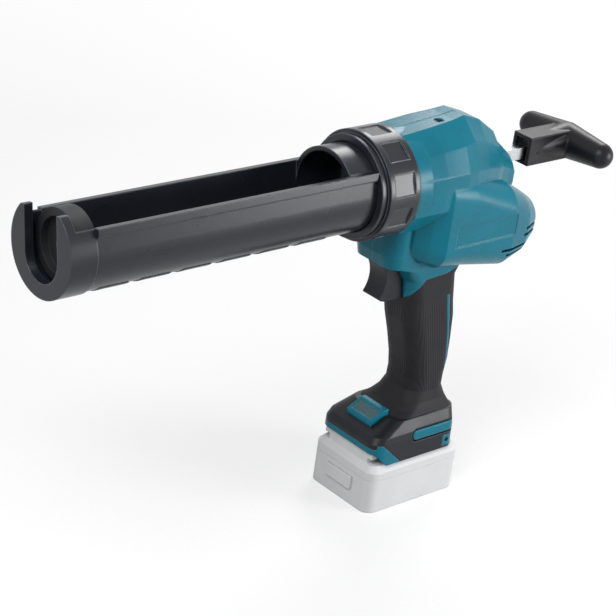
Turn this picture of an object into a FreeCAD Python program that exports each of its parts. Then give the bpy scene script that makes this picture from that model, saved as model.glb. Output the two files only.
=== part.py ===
import FreeCAD, Part
import Sketcher
import math
import os
import re

# Cordless caulking tool. X points forward along the barrel, Y to the tool's left and Z up.
# The origin is the middle of the battery pack's flat underside. Lengths are millimetres.

doc = FreeCAD.newDocument("caulking_tool")
sheet = doc.addObject("Spreadsheet::Sheet", "sizes")

driving_sizes = {
    # fits shared by every piece
    "seat_gap": 0.05, "running_gap": 0.3, "slide_gap": 0.05, "cut_overrun": 60,
    # barrel axis and clamp ring
    "axis_height": 234, "ring_gap": 0.4, "ring_length": 30, "ring_radius": 36, "ring_lip_length": 5,
    "ring_lip_radius": 33.5, "ring_front_wall": 9, "ring_bore_gap": 0.5, "ring_pad_depth": 1.3,
    "ring_pad_width": 14, "ring_pad_margin": 4, "ring_pad_count": 10,
    # spigot that the ring screws onto
    "spigot_radius": 31.2, "spigot_reach": 12, "spigot_flange": 1.1, "spigot_flange_length": 3,
    "spigot_bore_radius": 22, "collar_wall": 6,
    # cartridge holder
    "tube_radius": 28.5, "tube_wall": 3, "holder_length": 241, "arch_length": 19.6,
    "holder_flange_radius": 31, "holder_flange_length": 3, "wall_top": 15, "rail_height": 5,
    "rail_proud": 1.5, "holder_turn": 9, "keel_width": 30, "keel_proud": 0.6, "keel_length": 20,
    "keel_pitch": 30, "keel_count": 6,
    # nose cap
    "cap_length": 18.5, "cap_plate": 6, "cap_proud": 1, "slot_half_width": 16, "slot_depth": 20,
    "prong_top": 22.5,
    # push rod, piston and pull handle
    "rod_width": 8, "rod_height": 8.4, "rod_end_gap": 5, "rod_socket_depth": 14, "rod_stroke": 205,
    "tooth_module": 1.25, "pinion_teeth": 14, "tooth_play": 0.3, "pinion_width": 8, "piston_radius": 22,
    "piston_length": 12, "piston_dish": 5, "piston_dish_radius": 17, "piston_screw_radius": 2,
    "piston_screw_depth": 14, "piston_head_radius": 4.5, "piston_head_length": 3, "stem_gap": 13,
    "stem_length": 45, "stem_width": 16, "stem_height": 20, "stem_collar": 12, "stem_wall": 2.5,
    "stem_recess": 4, "bar_rise": 1.7, "bar_radius": 9, "bar_half_length": 32, "bar_root_radius": 12.5,
    "handle_pin_radius": 1.5, "handle_pin_inset": 8,
    # upper housing
    "upper_length": 115, "collar_radius": 35, "collar_length": 12, "shell_wall": 2.5,
    # motor housing
    "motor_case_x": -28, "motor_case_half_length": 58, "motor_case_drop": 27,
    "motor_case_half_height": 35, "motor_case_half_width": 35.5, "motor_case_corner": 20,
    "plate_length": 56, "plate_height": 15, "plate_depth": 0.6, "plate_x": -24, "plate_drop": 34,
    "vent_height": 2.2,
    # handle and its rubber sleeve
    "handle_top_drop": 29, "handle_reach": 45, "handle_half_width": 20.5, "handle_corner": 12,
    "sleeve_thickness": 2.5,
    # drive
    "motor_drop": 40, "motor_radius": 17.5, "motor_inset": 20, "motor_length": 40, "gearbox_radius": 17,
    "gearbox_length": 20, "head_length": 24, "head_half_width": 16, "head_bottom_drop": 50,
    "head_top_drop": 5.2, "shaft_radius": 3, "bush_wall": 2, "guide_width": 16, "guide_height": 16,
    "guide_length": 12, "guide_inset": 24, "guide_margin": 2, "web_thickness": 3, "web_drop": 11,
    "head_web_inset": 14, "gear_web_inset": 10, "motor_web_inset": 10, "motor_end_web_inset": 4,
    # trigger and switch
    "trigger_inset": 6, "trigger_drop": 60.5, "trigger_height": 25, "trigger_width": 16,
    "trigger_travel": 7, "finger_radius": 20, "finger_depth": 4, "switch_gap": 1, "switch_length": 20,
    "switch_width": 18, "switch_height": 23, "switch_floor": 3,
    # foot
    "foot_height": 27.7, "foot_front_x": 40, "foot_rear_x": -36, "foot_half_width": 29,
    "foot_corner": 9, "foot_wall": 3, "skirt_height": 4, "skirt_depth": 4, "catch_depth": 3,
    "catch_rise": 7.2, "hook_rail_front_x": 6, "hook_rail_length": 38, "hook_rail_rise": 16.2,
    "hook_rail_half_height": 3.2, "hook_rail_border": 1.2, "hook_rail_depth": 2, "hook_nut_x": -27,
    "hook_nut_rise": 5.7, "hook_nut_size": 8, "hook_bore_radius": 1.65, "hook_bore_length": 5,
    "wire_hole_radius": 7, "light_gap": 1.25, "light_length": 15.5, "light_height": 4.2,
    "light_nose_drop": 2, "light_half_width": 12, "light_wall": 2.2, "lens_thickness": 1.5,
    "terminal_x": -8, "terminal_length": 24, "terminal_width": 30, "terminal_height": 14,
    "blade_spacing": 16, "blade_thickness": 0.8, "blade_length": 15, "blade_depth": 7,
    "controller_length": 22, "controller_width": 34, "controller_height": 8, "controller_rear_x": -31,
    # battery pack
    "pack_half_length": 42, "pack_half_width": 30, "pack_top_z": 34, "pack_corner": 8, "pack_wall": 2.5,
    "pack_split_z": 24, "pack_shoulder": 4, "cell_radius": 9, "cell_length": 65, "cell_pitch": 18.1,
    "cell_end_gap": 4, "tower_neck_half_width": 19.5, "tower_head_half_width": 23.5,
    "tower_neck_height": 4, "tower_head_height": 4.5, "tower_front_x": 38, "tower_rear_x": -32,
    "tower_slot_width": 3, "contact_length": 2, "button_half_width": 12, "button_height": 9,
    "button_bottom_z": 11, "button_proud": 1.6, "button_flange": 2, "button_flange_length": 1.5,
    # screws that close the two housing halves
    "screw_radius": 1.5, "screw_length": 20, "screw_head_radius": 3, "screw_head_length": 2.2,
    "screw_post_radius": 4.5, "grip_screw_rise": 18, "screw_slot_width": 1, "screw_slot_depth": 1.2,
    "top_screw_x": 8, "top_screw_y": 6, "top_screw_height": 34.2,
}

# Places that follow from the sizes: along the barrel, down from its axis and up from the pack
handle_flare_share = 0.35
derived_sizes = {
    "ring_rear_x": "handle_reach + ring_gap",
    "ring_front_x": "ring_rear_x + ring_length",
    "arch_front_x": "ring_front_x + arch_length",
    "side_rear_x": "ring_front_x + running_gap",
    "holder_front_x": "handle_reach + holder_length",
    "cap_front_x": "holder_front_x + cap_length",
    "rod_front_x": "holder_front_x - rod_end_gap",
    "stem_front_x": "handle_reach - upper_length - stem_gap",
    "rod_rear_x": "stem_front_x - rod_socket_depth",
    "bar_x": "stem_front_x - stem_length",
    "handle_pin_x": "stem_front_x - handle_pin_inset",
    "guide_rear_x": "handle_reach - upper_length + guide_inset",
    "cavity_rear_x": "guide_rear_x - guide_margin",
    "motor_rear_x": "motor_case_x - motor_case_half_length + motor_inset",
    "motor_front_x": "motor_rear_x + motor_length",
    "head_rear_x": "motor_front_x + gearbox_length",
    "pinion_x": "head_rear_x + head_length / 2",
    "front_web_x": "head_rear_x + head_web_inset",
    "gear_web_x": "motor_front_x + gear_web_inset",
    "motor_front_web_x": "motor_front_x - motor_web_inset",
    "motor_rear_web_x": "motor_rear_x + motor_end_web_inset",
    "motor_case_z": "axis_height - motor_case_drop",
    "plate_z": "axis_height - plate_drop",
    "handle_top_z": "axis_height - handle_top_drop",
    "motor_z": "axis_height - motor_drop",
    "head_bottom_z": "axis_height - head_bottom_drop",
    "head_top_z": "axis_height - head_top_drop",
    "web_floor_z": "axis_height - web_drop",
    "trigger_front_x": "handle_reach - trigger_inset",
    "trigger_rear_x": "trigger_travel + switch_gap",
    "trigger_top_z": "axis_height - trigger_drop",
    "trigger_low_z": "trigger_top_z - trigger_height",
    "foot_bottom_z": "pack_top_z + running_gap",
    "foot_top_z": "foot_bottom_z + foot_height",
    "grip_screw_z": "foot_top_z + grip_screw_rise",
    "tower_neck_z": "pack_top_z + tower_neck_height",
    "tower_top_z": "tower_neck_z + tower_head_height",
    "foot_front_gap_z": "tower_top_z + running_gap",
    "hook_rail_z": "foot_bottom_z + hook_rail_rise",
    "hook_nut_z": "foot_bottom_z + hook_nut_rise",
    "light_rear_x": f"{handle_flare_share} * handle_reach + light_gap",
    "light_front_x": "light_rear_x + light_length",
    "ceiling_z": "foot_top_z - foot_wall",
}

for row, (alias, value) in enumerate((driving_sizes | derived_sizes).items(), start=1):
    sheet.set(f"A{row}", alias)
    sheet.set(f"B{row}", f"={value}")
    sheet.setAlias(f"B{row}", alias)
doc.recompute()

nodes = {}
along_x = FreeCAD.Rotation(FreeCAD.Vector(0, 1, 0), 90)
along_y = FreeCAD.Rotation(FreeCAD.Vector(1, 0, 0), -90)
along_z = FreeCAD.Rotation()


def size(alias):
    return float(sheet.get(alias))


def bound(text):
    aliases = driving_sizes | derived_sizes
    return re.sub(r"[a-z_]+", lambda word: "sizes." + word[0] if word[0] in aliases else word[0], text)


def bind(obj, sizes):
    for name, text in sizes.items():
        obj.setExpression(name, bound(text))
    return obj


def place(obj, x, y, z):
    return bind(obj, {"Placement.Base.x": x, "Placement.Base.y": y, "Placement.Base.z": z})


def cylinder(name, turn, radius, length, x="0", y="0", z="axis_height"):
    obj = doc.addObject("Part::Cylinder", name)
    obj.Placement = FreeCAD.Placement(FreeCAD.Vector(), turn)
    bind(obj, {"Radius": radius, "Height": length})
    return place(obj, x, y, z)


def box(name, length, width, height, x, y, z):
    obj = doc.addObject("Part::Box", name)
    bind(obj, {"Length": length, "Width": width, "Height": height})
    return place(obj, x, y, z)


def mid_box(name, length, width, height, x, z):
    return box(name, length, width, height, x, f"-({width}) / 2", z)


def fuse(name, parts):
    obj = doc.addObject("Part::MultiFuse", name)
    obj.Shapes = parts
    return obj


def cut(name, base, tools):
    obj = doc.addObject("Part::Cut", name)
    obj.Base = base
    obj.Tool = tools[0] if len(tools) == 1 else fuse(name + "_tools", tools)
    return obj


def prism(name, outline, width):
    body = doc.addObject("PartDesign::Body", name)
    sketch = body.newObject("Sketcher::SketchObject", name + "_outline")
    plane = [item for item in body.Origin.OriginFeatures if item.Role == "XZ_Plane"]
    sketch.AttachmentSupport = [(plane[0], "")]
    sketch.MapMode = "FlatFace"
    count = len(outline)
    ring = [FreeCAD.Vector(math.cos(turn), math.sin(turn), 0)
            for turn in (2 * math.pi * step / count for step in range(count))]
    for step in range(count):
        sketch.addGeometry(Part.LineSegment(ring[step], ring[(step + 1) % count]))
    for step in range(count):
        sketch.addConstraint(Sketcher.Constraint("Coincident", step, 2, (step + 1) % count, 1))
    for step, (along, up) in enumerate(outline):
        for kind, text, start in (("DistanceX", along, ring[step].x), ("DistanceY", up, ring[step].y)):
            index = sketch.addConstraint(Sketcher.Constraint(kind, -1, 1, step, 1, start))
            sketch.setExpression(f"Constraints[{index}]", bound(text))
    pad = body.newObject("PartDesign::Pad", name + "_pad")
    pad.Profile = sketch
    pad.Midplane = True
    bind(pad, {"Length": width})
    return body


def feature(name, shape):
    obj = doc.addObject("Part::Feature", name)
    obj.Shape = shape
    return obj


def node(name, obj):
    obj.Label = name
    nodes[name] = obj
    return obj


def block(low_x, high_x, low_y, high_y, low_z, high_z):
    corner = FreeCAD.Vector(low_x, low_y, low_z)
    return Part.makeBox(high_x - low_x, high_y - low_y, high_z - low_z, corner)


def rounded_wire(low_a, high_a, low_b, high_b, radius, to_space):
    quarter = math.pi / 2
    middles = [(high_a - radius, high_b - radius), (low_a + radius, high_b - radius),
               (low_a + radius, low_b + radius), (high_a - radius, low_b + radius)]

    def rim(index, turn):
        a, b = middles[index % len(middles)]
        return to_space(a + radius * math.cos(turn), b + radius * math.sin(turn))

    edges = []
    for index in range(len(middles)):
        start = index * quarter
        arc = Part.Arc(rim(index, start), rim(index, start + quarter / 2), rim(index, start + quarter))
        edges.append(arc.toShape())
        line = Part.LineSegment(rim(index, start + quarter), rim(index + 1, start + quarter))
        edges.append(line.toShape())
    return Part.Wire(edges)


axis = size("axis_height")
wall = size("shell_wall")
overrun = size("cut_overrun")
seat = size("seat_gap")

# Clamp ring: a threaded collar with finger pads and a stepped front lip
ring_body = fuse("ring_body", [
    cylinder("ring_barrel", along_x, "ring_radius", "ring_length - ring_lip_length", "ring_rear_x"),
    cylinder("ring_lip", along_x, "ring_lip_radius", "ring_length", "ring_rear_x")])
ring_cuts = [
    cylinder("ring_thread", along_x, "spigot_radius + running_gap", "ring_length - ring_front_wall",
             "ring_rear_x"),
    cylinder("ring_bore", along_x, "tube_radius + ring_bore_gap", "ring_length", "ring_rear_x")]
for step in range(int(size("ring_pad_count"))):
    groove = doc.addObject("Part::Box", f"ring_pad_{step}")
    bind(groove, {"Length": "ring_length - ring_lip_length - 2 * ring_pad_margin", "Width": "ring_pad_width",
                  "Height": "ring_pad_depth + ring_pad_margin"})
    turn = f"360 / ring_pad_count * {step}"
    groove.Placement = FreeCAD.Placement(FreeCAD.Vector(), FreeCAD.Rotation(FreeCAD.Vector(1, 0, 0), 0))
    reach = "(ring_radius - ring_pad_depth)"
    bind(groove, {"Placement.Rotation.Angle": f"{turn} * 1deg"})
    place(groove, "ring_rear_x + ring_pad_margin",
          f"-ring_pad_width / 2 * cos({turn} * 1deg) - {reach} * sin({turn} * 1deg)",
          f"axis_height - ring_pad_width / 2 * sin({turn} * 1deg) + {reach} * cos({turn} * 1deg)")
    ring_cuts.append(groove)
node("clamp_ring", cut("clamp_ring", ring_body, ring_cuts))

# Spigot and front rod guide behind the ring
spigot = fuse("spigot_body", [
    cylinder("spigot_tube", along_x, "spigot_radius", "spigot_reach + collar_wall + spigot_flange_length",
             "handle_reach - collar_wall - spigot_flange_length"),
    cylinder("spigot_rim", along_x, "spigot_radius + spigot_flange", "spigot_flange_length",
             "handle_reach - collar_wall - spigot_flange_length")])
spigot_hole = cylinder("spigot_hole", along_x, "spigot_bore_radius", "cut_overrun",
                       "handle_reach - cut_overrun / 2")
node("holder_spigot", cut("holder_spigot", spigot, [spigot_hole]))


def rod_hole(name, length, x):
    return mid_box(name, length, "rod_width + 2 * slide_gap", "rod_height + 2 * slide_gap", x,
                   "axis_height - rod_height / 2 - slide_gap")


front_guide = cylinder("front_guide_disc", along_x, "spigot_bore_radius - seat_gap", "guide_length",
                       "handle_reach - guide_length / 2")
node("rod_guide_front", cut("rod_guide_front", front_guide, [
    rod_hole("front_guide_hole", "2 * guide_length", "handle_reach - guide_length")]))
rear_guide = mid_box("rear_guide_block", "guide_length", "guide_width", "guide_height", "guide_rear_x",
                     "axis_height - guide_height / 2")
node("rod_guide_rear", cut("rod_guide_rear", rear_guide, [
    rod_hole("rear_guide_hole", "2 * guide_length", "guide_rear_x - guide_length / 2")]))

# Cartridge holder: a trough open at the top, an arch at its rear end and rails along its edges.
# It is drawn upright about its own axis and then turned to the angle it is left at.
trough_rear = "(handle_reach + spigot_reach + running_gap)"
trough_length = f"(holder_front_x - {trough_rear})"


def turned(obj, x="0"):
    obj.Placement = FreeCAD.Placement(FreeCAD.Vector(), FreeCAD.Rotation(FreeCAD.Vector(1, 0, 0), 1))
    bind(obj, {"Placement.Rotation.Angle": "holder_turn * 1deg"})
    return place(obj, x, "0", "axis_height")


holder_solids = [
    cylinder("trough_round", along_x, "tube_radius", trough_length, trough_rear, "0", "0"),
    mid_box("trough_sides", "holder_front_x - side_rear_x", "2 * tube_radius", "wall_top", "side_rear_x",
            "0"),
    cylinder("trough_flange", along_x, "holder_flange_radius", "holder_flange_length", trough_rear, "0", "0"),
    mid_box("trough_rails", "holder_front_x - side_rear_x", "2 * (tube_radius + rail_proud)", "rail_height",
            "side_rear_x", "wall_top - rail_height")]
for step in range(int(size("keel_count"))):
    keel_x = f"arch_front_x + keel_length / 2 + {step} * keel_pitch"
    keel = doc.addObject("Part::MultiCommon", f"trough_keel_{step}")
    keel.Shapes = [
        cylinder(f"keel_round_{step}", along_x, "tube_radius + keel_proud", "keel_length", keel_x, "0", "0"),
        mid_box(f"keel_band_{step}", "keel_length", "keel_width", "cut_overrun", keel_x, "-cut_overrun")]
    holder_solids.append(keel)
trough_inside = cylinder("trough_inside", along_x, "tube_radius - tube_wall", "holder_front_x", "0", "0", "0")
trough_mouth = mid_box("trough_mouth", "holder_front_x", "2 * (tube_radius - tube_wall)", "cut_overrun",
                       "arch_front_x", "0")
trough_top = mid_box("trough_top", "holder_front_x", "2 * cut_overrun", "cut_overrun", "arch_front_x",
                     "wall_top")
node("cartridge_holder", turned(cut("cartridge_holder", fuse("holder_body", holder_solids), [
    trough_inside, trough_mouth, trough_top])))

# Nose cap: a collar and a front plate with a slot that the nozzle drops into
cap_body = cylinder("cap_disc", along_x, "tube_radius + cap_proud", "cap_front_x - holder_front_x",
                    "holder_front_x", "0", "0")
cap_cuts = [
    cylinder("cap_inside", along_x, "tube_radius - tube_wall", "cap_front_x - holder_front_x - cap_plate",
             "holder_front_x", "0", "0"),
    mid_box("cap_mouth", "cap_front_x - holder_front_x - cap_plate", "2 * (tube_radius - tube_wall)",
            "cut_overrun", "holder_front_x", "0"),
    cylinder("cap_slot_round", along_x, "slot_half_width", "cap_front_x", "holder_front_x", "0",
             "slot_half_width - slot_depth"),
    mid_box("cap_slot", "cap_front_x", "2 * slot_half_width", "cut_overrun", "holder_front_x",
            "slot_half_width - slot_depth"),
    mid_box("cap_top", "cap_front_x", "2 * cut_overrun", "cut_overrun", "holder_front_x", "prong_top")]
node("nose_cap", turned(cut("nose_cap", cap_body, cap_cuts)))

# Push rod: a steel rack with its teeth underneath, in mesh with a pinion on a cross shaft
tooth_module = size("tooth_module")
pinion_teeth = int(size("pinion_teeth"))
pitch_radius = tooth_module * pinion_teeth / 2
addendum_share = 0.75
dedendum_share = 1.1
pressure_angle = math.radians(20)
addendum = addendum_share * tooth_module
dedendum = dedendum_share * tooth_module
rod_low = axis - size("rod_height") / 2
rod_high = axis + size("rod_height") / 2
pitch_line = rod_low + addendum
shaft_z = pitch_line - pitch_radius
pinion_x = size("pinion_x")


def rack_outline():
    tooth_pitch = math.pi * tooth_module
    half_tooth = tooth_pitch / 4 - size("tooth_play") / 4
    tip_half = half_tooth - addendum * math.tan(pressure_angle)
    root_half = half_tooth + dedendum * math.tan(pressure_angle)
    root_z = pitch_line + dedendum
    lead_count = 4
    last = int(size("rod_stroke") / tooth_pitch) + lead_count
    rear_x = size("rod_rear_x")
    tooth = ((-root_half, root_z), (-tip_half, rod_low), (tip_half, rod_low), (root_half, root_z))
    points = [FreeCAD.Vector(rear_x, 0, rod_high), FreeCAD.Vector(rear_x, 0, rod_low)]
    points.append(FreeCAD.Vector(pinion_x - lead_count * tooth_pitch - tooth_pitch / 2, 0, rod_low))
    points.append(FreeCAD.Vector(pinion_x - lead_count * tooth_pitch - tooth_pitch / 2, 0, root_z))
    for step in range(-lead_count, last + 1):
        middle = pinion_x + step * tooth_pitch
        for offset, level in tooth:
            points.append(FreeCAD.Vector(middle + offset, 0, level))
    points.append(FreeCAD.Vector(pinion_x + last * tooth_pitch + tooth_pitch / 2, 0, root_z))
    points.append(FreeCAD.Vector(pinion_x + last * tooth_pitch + tooth_pitch / 2, 0, rod_low))
    points.append(FreeCAD.Vector(size("rod_front_x"), 0, rod_low))
    points.append(FreeCAD.Vector(size("rod_front_x"), 0, rod_high))
    return points + points[:1]


def pinion_outline():
    base_radius = pitch_radius * math.cos(pressure_angle)
    tip_radius = pitch_radius + addendum
    root_radius = pitch_radius - dedendum
    pitch_half = math.pi / (2 * pinion_teeth) - size("tooth_play") / (4 * pitch_radius)
    flank_steps = 5

    def involute(angle):
        return math.tan(angle) - angle

    flank = [(root_radius, pitch_half + involute(pressure_angle))]
    for step in range(flank_steps + 1):
        radius = base_radius + (tip_radius - base_radius) * step / flank_steps
        angle = math.acos(min(1, base_radius / radius))
        flank.append((radius, pitch_half + involute(pressure_angle) - involute(angle)))
    points = []
    for tooth in range(pinion_teeth):
        middle = math.pi / 2 + math.pi / pinion_teeth + 2 * math.pi * tooth / pinion_teeth
        side = [(radius, middle - half) for radius, half in flank]
        side += [(radius, middle + half) for radius, half in reversed(flank)]
        for radius, turn in side:
            spoke = FreeCAD.Vector(math.cos(turn), 0, math.sin(turn)) * radius
            points.append(FreeCAD.Vector(pinion_x, 0, shaft_z) + spoke)
    return points + points[:1]


def slab_y(points, width):
    face = Part.Face(Part.makePolygon(points))
    return face.extrude(FreeCAD.Vector(0, width, 0)).translated(FreeCAD.Vector(0, -width / 2, 0))


rack = feature("rack_blank", slab_y(rack_outline(), size("rod_width")))
node("rack_rod", cut("rack_rod", rack, [
    cylinder("rod_tap", along_x, "piston_screw_radius", "piston_screw_depth + seat_gap",
             "rod_front_x - piston_screw_depth - seat_gap"),
    cylinder("rod_pin_hole", along_y, "handle_pin_radius", "cut_overrun", "handle_pin_x",
             "-cut_overrun / 2")]))
pinion_blank = feature("pinion_blank", slab_y(pinion_outline(), size("pinion_width")))
pitch_text = f"(axis_height - rod_height / 2 + {addendum_share} * tooth_module)"
shaft_text = f"({pitch_text} - tooth_module * pinion_teeth / 2)"
node("rack_pinion", cut("rack_pinion", pinion_blank, [
    cylinder("pinion_bore", along_y, "shaft_radius + seat_gap", "cut_overrun", "pinion_x", "-cut_overrun / 2",
             shaft_text)]))
node("pinion_shaft", cylinder("pinion_shaft", along_y, "shaft_radius", "2 * head_half_width", "pinion_x",
                              "-head_half_width", shaft_text))

# Piston and the screw that holds it to the rod
piston_disc = cylinder("piston_disc", along_x, "piston_radius", "piston_length", "rod_front_x")
node("piston", cut("piston", piston_disc, [
    cylinder("piston_hollow", along_x, "piston_dish_radius", "piston_length",
             "rod_front_x + piston_length - piston_dish"),
    cylinder("piston_hole", along_x, "piston_screw_radius", "cut_overrun", "rod_front_x - cut_overrun / 2")]))
node("piston_screw", fuse("piston_screw", [
    cylinder("piston_screw_head", along_x, "piston_head_radius", "piston_head_length",
             "rod_front_x + piston_length - piston_dish"),
    cylinder("piston_screw_shank", along_x, "piston_screw_radius - seat_gap",
             "piston_screw_depth + piston_length - piston_dish + piston_head_length / 2",
             "rod_front_x - piston_screw_depth")]))

def cone(name, turn, start_radius, end_radius, length, x, y):
    obj = doc.addObject("Part::Cone", name)
    obj.Placement = FreeCAD.Placement(FreeCAD.Vector(), turn)
    bind(obj, {"Radius1": start_radius, "Radius2": end_radius, "Height": length})
    return place(obj, x, y, "axis_height + bar_rise")


# Pull handle: a stem pinned over the rod's end and a cross bar with rounded ends
handle_solids = [
    mid_box("handle_stem", "stem_front_x - bar_x", "stem_width", "stem_height", "bar_x",
            "axis_height + bar_rise - stem_height / 2"),
    cone("handle_flare", FreeCAD.Rotation(FreeCAD.Vector(0, 1, 0), -90), "stem_width / 2", "bar_root_radius",
         "stem_front_x - bar_x - stem_collar", "stem_front_x - stem_collar", "0")]
for name, side, turn in (("left", "", along_y), ("right", "-", along_y.inverted())):
    handle_solids.append(cone(f"handle_bar_{name}", turn, "bar_root_radius", "bar_radius", "bar_half_length",
                              "bar_x", "0"))
    knob = doc.addObject("Part::Sphere", f"handle_knob_{name}")
    bind(knob, {"Radius": "bar_radius"})
    handle_solids.append(place(knob, "bar_x", f"{side}bar_half_length", "axis_height + bar_rise"))
node("pull_handle", cut("pull_handle", fuse("handle_body", handle_solids), [
    mid_box("handle_socket", "cut_overrun", "rod_width + 2 * seat_gap", "rod_height + 2 * seat_gap",
            "rod_rear_x", "axis_height - rod_height / 2 - seat_gap"),
    mid_box("handle_recess", "cut_overrun", "stem_width - 2 * stem_wall", "stem_height - 2 * stem_wall",
            "stem_front_x - stem_recess", "axis_height + bar_rise - stem_height / 2 + stem_wall"),
    cylinder("handle_pin_hole", along_y, "handle_pin_radius", "cut_overrun", "handle_pin_x",
             "-cut_overrun / 2")]))
node("handle_pin", cylinder("handle_pin", along_y, "handle_pin_radius - seat_gap", "stem_width",
                            "handle_pin_x", "-stem_width / 2"))

# Motor, gearbox and the gear head whose ears carry the pinion's shaft
node("motor", cylinder("motor", along_x, "motor_radius", "motor_length", "motor_rear_x", "0", "motor_z"))
node("gearbox", cylinder("gearbox", along_x, "gearbox_radius", "gearbox_length", "motor_front_x", "0",
                         "motor_z"))
head_block = mid_box("head_block", "head_length", "2 * head_half_width", "head_top_z - head_bottom_z",
                     "head_rear_x", "head_bottom_z")
node("gear_head", cut("gear_head", head_block, [
    mid_box("head_slot", "cut_overrun", "pinion_width + 2 * running_gap", "cut_overrun",
            "head_rear_x - cut_overrun / 4",
            f"{shaft_text} - tooth_module * pinion_teeth / 2 - tooth_module - running_gap"),
    cylinder("head_bore", along_y, "shaft_radius + bush_wall", "cut_overrun", "pinion_x", "-cut_overrun / 2",
             shaft_text)]))
bushes = []
for name, start in (("left", "pinion_width / 2 + running_gap"), ("right", "-head_half_width")):
    bushes.append(cylinder(f"bush_{name}", along_y, "shaft_radius + bush_wall - seat_gap",
                           "head_half_width - pinion_width / 2 - running_gap", "pinion_x", start, shaft_text))
node("pinion_bushes", cut("pinion_bushes", fuse("bush_pair", bushes), [
    cylinder("bush_bore", along_y, "shaft_radius + seat_gap", "cut_overrun", "pinion_x", "-cut_overrun / 2",
             shaft_text)]))

# Outer forms of the housing, drawn as sections with shares of each form's own sizes
upper_shares = [
    (0, 0.34, 0.97, 0.74, 0.64, 0.96, 0.28, -0.4, 0.63, -0.83),
    (0.22, 0.34, 1.035, 0.76, 0.68, 0.98, 0.28, -0.4, 0.63, -0.83),
    (0.4, 0.3, 1.08, 0.72, 0.72, 0.94, 0.26, -0.4, 0.63, -0.8),
    (0.487, 0.27, 1.12, 0.66, 0.74, 0.88, 0.24, -0.4, 0.6, -0.75),
    (0.623, 0.25, 0.97, 0.54, 0.62, 0.74, 0.16, -0.4, 0.55, -0.7),
    (0.765, 0.24, 0.66, 0.44, 0.42, 0.58, 0.04, -0.4, 0.45, -0.65),
    (0.82, 0.23, 0.42, 0.4, 0.24, 0.5, 0, -0.4, 0.42, -0.62),
    (0.9, 0.2, 0.22, 0.34, 0.06, 0.42, -0.1, -0.4, 0.38, -0.6),
    (0.96, 0.18, 0.06, 0.3, -0.06, 0.38, -0.2, -0.4, 0.35, -0.6),
]
motor_case_shares = [
    (1, 0.62, -0.7, 0.5, 0.6),
    (0.86, 0.82, -0.82, 0.86, 0.7),
    (0.69, 1, -0.9, 1, 0.75),
    (0.31, 1, -0.97, 0.89, 0.8),
    (-0.38, 1, -1.19, 0.51, 0.9),
    (-0.69, 0.9, -1.1, 0.24, 0.9),
    (-0.9, 0.74, -0.9, 0.03, 0.7),
    (-1, 0.58, -0.7, -0.1, 0.5),
]
handle_shares = [
    (1, 1, -0.9, 1, 1),
    (0.86, 1, -0.9, 1, 0.9),
    (0.8, 0.95, -0.8, 0.97, 0.8),
    (0.765, 0.6, -0.62, 0.93, 0.8),
    (0.7, 0.44, -0.55, 0.88, 0.85),
    (0.55, 0.35, -0.655, 0.85, 1),
    (0.47, 0.29, -0.71, 0.85, 1),
    (0.35, 0.16, -0.735, 0.85, 1),
    (0.24, 0.06, -0.745, 0.85, 1),
    (0.16, 0.02, -0.71, 0.85, 1),
    (0.1, 0.03, -0.7, 0.86, 1),
    (0.05, 0.11, -0.75, 0.93, 0.9),
    (0.02, 0.22, -0.79, 1.03, 0.85),
    (0, handle_flare_share, -0.82, 1.12, 0.8),
]


def upper_form(inset):
    scale = size("collar_radius") - inset
    wires = []
    for along, top_y, top_z, high_y, high_z, mid_y, mid_z, low_z, base_y, base_z in upper_shares:
        x = size("handle_reach") - along * size("upper_length")
        side = [(top_y, top_z), (high_y, high_z), (mid_y, mid_z), (mid_y, low_z), (base_y, base_z)]
        rim = side + [(-y, z) for y, z in reversed(side)]
        points = [FreeCAD.Vector(x, y * scale, axis + z * scale) for y, z in rim]
        wires.append(Part.makePolygon(points + points[:1]))
    return Part.makeLoft(wires, True, True)


corner_limit_share = 0.95


def motor_case_form(inset):
    wires = []
    for along, wide, low, high, corner in motor_case_shares:
        x = size("motor_case_x") + along * (size("motor_case_half_length") - inset)
        half = wide * size("motor_case_half_width") - inset
        bottom = size("motor_case_z") + low * size("motor_case_half_height") + inset
        top = size("motor_case_z") + high * size("motor_case_half_height") - inset
        widest = corner_limit_share * min(half, (top - bottom) / 2)
        radius = min(corner * size("motor_case_corner") - inset, widest)
        wires.append(rounded_wire(-half, half, bottom, top, radius,
                                  lambda a, b, x=x: FreeCAD.Vector(x, a, b)))
    return Part.makeLoft(wires, True, True)


def handle_form(inset):
    low = size("foot_top_z")
    wires = []
    for up, front, rear, wide, corner in handle_shares:
        z = low + up * (size("handle_top_z") - low)
        half = wide * size("handle_half_width") - inset
        radius = corner * size("handle_corner") - inset
        low_x = rear * size("handle_reach") + inset
        high_x = front * size("handle_reach") - inset
        wires.append(rounded_wire(low_x, high_x, -half, half, radius,
                                  lambda a, b, z=z: FreeCAD.Vector(a, b, z)))
    return Part.makeLoft(wires, True, True)


def side_prism(shares, low_y, high_y):
    height = size("handle_top_z") - size("foot_top_z")
    points = [FreeCAD.Vector(along * size("handle_reach"), low_y, size("foot_top_z") + up * height)
              for along, up in shares]
    return Part.Face(Part.makePolygon(points + points[:1])).extrude(FreeCAD.Vector(0, high_y - low_y, 0))


# The sleeve's upper edge drops behind the trigger; a bare stripe runs up each rear edge of the grip
sleeve_edge_shares = [(-2, 0), (2, 0), (2, 0.59), (0.4, 0.59), (0.3, 0.66), (0.18, 0.71), (-0.24, 0.72),
                      (-0.5, 0.755), (-2, 0.755)]
stripe_shares = [(-0.34, 0.6), (-0.4, 0.6), (-0.53, 0.4), (-0.59, 0.29), (-0.61, 0.2), (-0.57, 0.2),
                 (-0.54, 0.29), (-0.48, 0.4)]
screw_shares = [(0.76, -1.2, 0.5), (-1, -0.4, 0.65)]
screw_places = [(x * size("handle_reach"), axis + z * size("collar_radius"), y * size("handle_half_width"))
                for x, z, y in screw_shares]
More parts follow.
